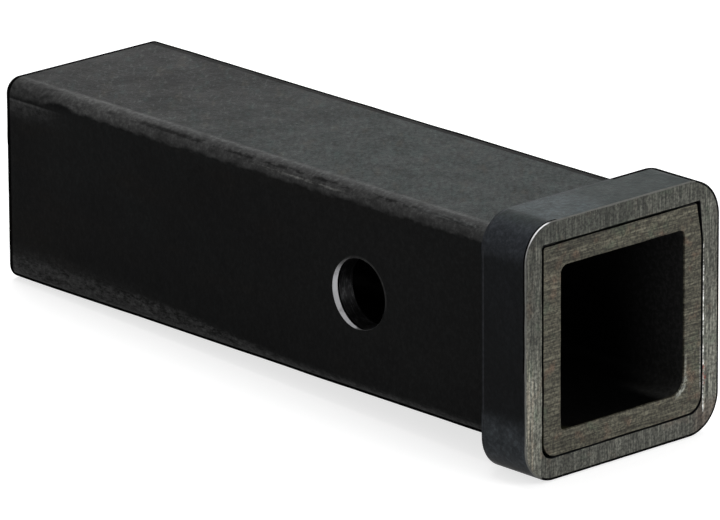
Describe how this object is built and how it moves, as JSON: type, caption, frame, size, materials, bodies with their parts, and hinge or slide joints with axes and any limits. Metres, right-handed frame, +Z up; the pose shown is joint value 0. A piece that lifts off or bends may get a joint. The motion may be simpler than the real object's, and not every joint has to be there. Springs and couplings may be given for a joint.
{
  "type": "receiver tube",
  "caption": "Weld-on square steel receiver tube with a cross pin hole near its mouth and a welded square reinforcing collar flush with the mouth.",
  "frame": {"origin": "where the axis of the cross pin hole meets the axis of the tube", "axes": "+Y along the tube from the mouth to the back end, +X along the pin hole, +Z up"},
  "size_m": [0.0504, 0.1524, 0.0504],
  "materials": {
    "mill_scale_steel": "raw hot-formed steel under black mill scale, satin, with bare sawn ends",
    "collar_steel": "raw steel under bluish black mill scale, with a bare sawn front face",
    "weld_metal": "as-welded bead, dull dark grey with a heat tint beside it"
  },
  "bodies": {
    "root": {"receiver_tube": "mill_scale_steel", "collar": "collar_steel", "collar_weld": "weld_metal"}
  },
  "joints": []
}
